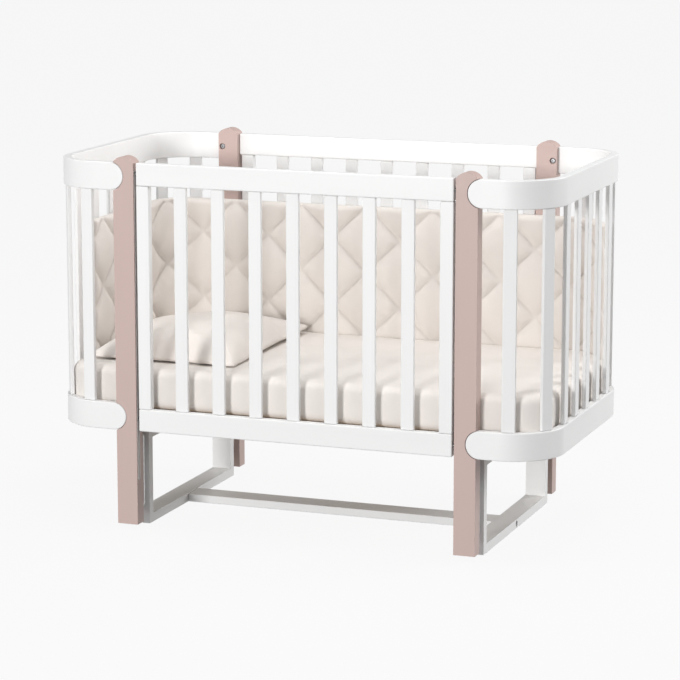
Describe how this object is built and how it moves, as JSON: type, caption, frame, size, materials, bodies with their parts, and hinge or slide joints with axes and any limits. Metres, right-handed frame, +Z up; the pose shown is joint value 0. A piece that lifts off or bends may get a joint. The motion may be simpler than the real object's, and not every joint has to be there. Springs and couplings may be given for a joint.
{
  "type": "baby crib",
  "caption": "Slatted baby crib with rounded ends, a lowering front side, a quilted bumper, mattress and pillow, hung on steel links from a low base so that it swings end to end.",
  "frame": {"origin": "on the floor under the middle of the crib", "axes": "+X along the length of the crib towards the end away from the pillow, -Y towards the front with the drop side, +Z up"},
  "size_m": [1.25, 0.676, 0.902],
  "materials": {
    "rose_wood": "satin rose-grey paint",
    "white_wood": "satin white paint",
    "steel": "zinc-plated",
    "plywood": "clear varnish",
    "mattress_fabric": "plain cotton",
    "bumper_fabric": "quilted cotton",
    "pillow_fabric": "plain cotton"
  },
  "bodies": {
    "base": {"base_frame_left": "white_wood", "base_frame_right": "white_wood", "base_stretcher": "white_wood"},
    "link_front_left": {"swing_link_front_left": "steel"},
    "link_front_right": {"swing_link_front_right": "steel"},
    "link_back_left": {"swing_link_back_left": "steel"},
    "link_back_right": {"swing_link_back_right": "steel"},
    "crib": {"post_front_left": "rose_wood", "post_front_right": "rose_wood", "post_back_left": "rose_wood", "post_back_right": "rose_wood", "left_end_top_rail": "white_wood", "left_end_bottom_rail": "white_wood", "left_end_slat_1": "white_wood", "left_end_slat_2": "white_wood", "left_end_slat_3": "white_wood", "left_end_slat_4": "white_wood", "left_end_slat_5": "white_wood", "left_end_slat_6": "white_wood", "left_end_slat_7": "white_wood", "left_end_slat_8": "white_wood", "left_end_slat_9": "white_wood", "right_end_top_rail": "white_wood", "right_end_bottom_rail": "white_wood", "right_end_slat_1": "white_wood", "right_end_slat_2": "white_wood", "right_end_slat_3": "white_wood", "right_end_slat_4": "white_wood", "right_end_slat_5": "white_wood", "right_end_slat_6": "white_wood", "right_end_slat_7": "white_wood", "right_end_slat_8": "white_wood", "right_end_slat_9": "white_wood", "back_top_rail": "white_wood", "back_bottom_rail": "white_wood", "back_stile_left": "white_wood", "back_stile_right": "white_wood", "back_slat_1": "white_wood", "back_slat_2": "white_wood", "back_slat_3": "white_wood", "back_slat_4": "white_wood", "back_slat_5": "white_wood", "back_slat_6": "white_wood", "back_slat_7": "white_wood", "bed_base": "plywood", "mattress": "mattress_fabric", "bumper": "bumper_fabric", "pillow": "pillow_fabric"},
    "drop_side": {"drop_side_top_rail": "white_wood", "drop_side_bottom_rail": "white_wood", "drop_side_stile_left": "white_wood", "drop_side_stile_right": "white_wood", "drop_side_slat_1": "white_wood", "drop_side_slat_2": "white_wood", "drop_side_slat_3": "white_wood", "drop_side_slat_4": "white_wood", "drop_side_slat_5": "white_wood", "drop_side_slat_6": "white_wood", "drop_side_slat_7": "white_wood"}
  },
  "joints": [
    {"name": "swing", "type": "hinge", "parent": "base", "child": "link_front_left", "pos_m": [-0.424, -0.278, 0.216], "axis": [0, 1, 0], "range_deg": [-10, 10]},
    {"name": "crib_level", "type": "hinge", "parent": "link_front_left", "child": "crib", "pos_m": [-0.424, -0.278, 0.057], "axis": [0, 1, 0], "range_deg": [-10, 10]},
    {"name": "link_front_right_swing", "type": "hinge", "parent": "base", "child": "link_front_right", "pos_m": [0.424, -0.278, 0.216], "axis": [0, 1, 0], "range_deg": [-10, 10]},
    {"name": "link_back_left_swing", "type": "hinge", "parent": "base", "child": "link_back_left", "pos_m": [-0.424, 0.278, 0.216], "axis": [0, 1, 0], "range_deg": [-10, 10]},
    {"name": "link_back_right_swing", "type": "hinge", "parent": "base", "child": "link_back_right", "pos_m": [0.424, 0.278, 0.216], "axis": [0, 1, 0], "range_deg": [-10, 10]},
    {"name": "drop_side_slide", "type": "slide", "parent": "crib", "child": "drop_side", "axis": [0, 0, 1], "range_m": [-0.13, 0]}
  ],
  "couplings": [
    {"joint": "crib_level", "follows": "swing", "ratio": -1},
    {"joint": "link_front_right_swing", "follows": "swing", "ratio": 1},
    {"joint": "link_back_left_swing", "follows": "swing", "ratio": 1},
    {"joint": "link_back_right_swing", "follows": "swing", "ratio": 1}
  ]
}
